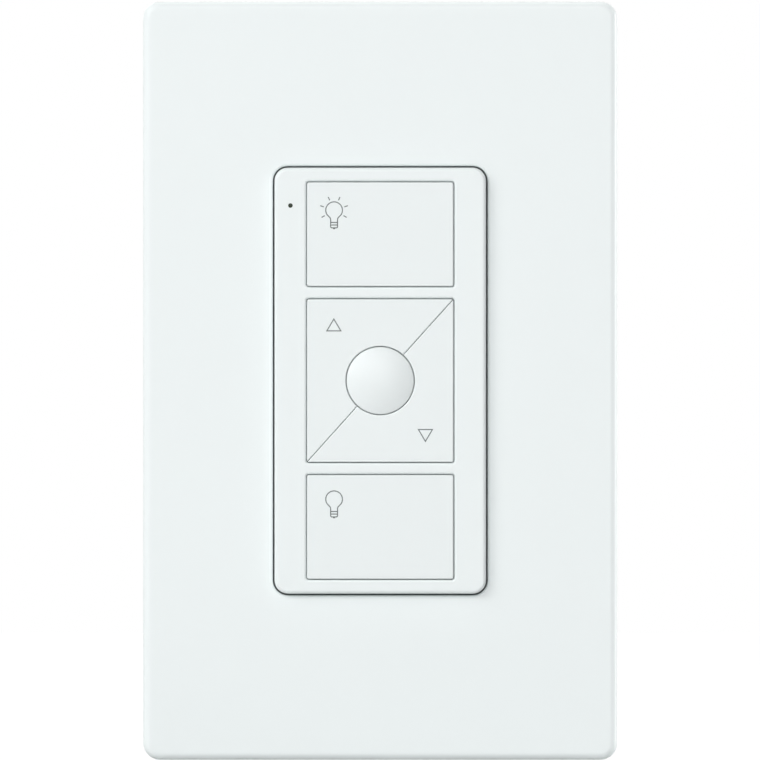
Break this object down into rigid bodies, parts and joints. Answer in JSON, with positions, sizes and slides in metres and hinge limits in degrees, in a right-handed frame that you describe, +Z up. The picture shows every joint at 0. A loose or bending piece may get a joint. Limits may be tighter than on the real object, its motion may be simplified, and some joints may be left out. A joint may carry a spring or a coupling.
{
  "type": "lighting control keypad",
  "caption": "White wall plate with a slim lighting keypad: on and off caps, raise and lower halves split by a diagonal seam, and a crowned round cap in the middle.",
  "frame": {"origin": "centre of the bracket's back, on the wall", "axes": "+Z up, +X to the right seen from the front, +Y into the wall, so the front faces -Y"},
  "size_m": [0.0746, 0.0104, 0.1194],
  "materials": {
    "cover_white": "satin moulded",
    "bezel_white": "satin moulded",
    "cap_white": "satin moulded",
    "frame_white": "matt moulded",
    "case_white": "matt moulded",
    "bracket_white": "matt moulded",
    "screw_steel": "zinc plated",
    "smoked_lens": "polished",
    "lamp_clear": "polished",
    "board_green": "lacquered",
    "chip_black": "matt moulded",
    "capacitor_tan": "fired ceramic",
    "can_steel": "plated",
    "cell_steel": "brushed",
    "spring_steel": "plated"
  },
  "bodies": {
    "fixed_parts": {"cover_plate": "cover_white", "sub_plate": "frame_white", "plate_screws": "screw_steel", "wall_bracket": "bracket_white", "front_bezel": "bezel_white", "rear_case": "case_white", "battery_door": "case_white", "light_pipe": "smoked_lens", "indicator_led": "lamp_clear", "circuit_board": "board_green", "controller_chip": "chip_black", "crystal": "can_steel", "chip_capacitors": "capacitor_tan", "coin_cell": "cell_steel", "negative_contact": "spring_steel", "positive_contact": "spring_steel", "snap_dome_on": "spring_steel", "snap_dome_raise": "spring_steel", "snap_dome_favourite": "spring_steel", "snap_dome_lower": "spring_steel", "snap_dome_off": "spring_steel"},
    "on_cap": {"button_on": "cap_white"},
    "raise_cap": {"button_raise": "cap_white"},
    "favourite_cap": {"button_favourite": "cap_white"},
    "lower_cap": {"button_lower": "cap_white"},
    "off_cap": {"button_off": "cap_white"}
  },
  "joints": [
    {"name": "on_press", "type": "slide", "parent": "fixed_parts", "child": "on_cap", "axis": [0, 1, 0], "range_m": [0, 0.0005], "stiffness_N_per_m": 1500, "deforming": ["snap_dome_on"]},
    {"name": "raise_press", "type": "slide", "parent": "fixed_parts", "child": "raise_cap", "axis": [0, 1, 0], "range_m": [0, 0.0005], "stiffness_N_per_m": 1500, "deforming": ["snap_dome_raise"]},
    {"name": "favourite_press", "type": "slide", "parent": "fixed_parts", "child": "favourite_cap", "axis": [0, 1, 0], "range_m": [0, 0.0005], "stiffness_N_per_m": 1500, "deforming": ["snap_dome_favourite"]},
    {"name": "lower_press", "type": "slide", "parent": "fixed_parts", "child": "lower_cap", "axis": [0, 1, 0], "range_m": [0, 0.0005], "stiffness_N_per_m": 1500, "deforming": ["snap_dome_lower"]},
    {"name": "off_press", "type": "slide", "parent": "fixed_parts", "child": "off_cap", "axis": [0, 1, 0], "range_m": [0, 0.0005], "stiffness_N_per_m": 1500, "deforming": ["snap_dome_off"]}
  ]
}
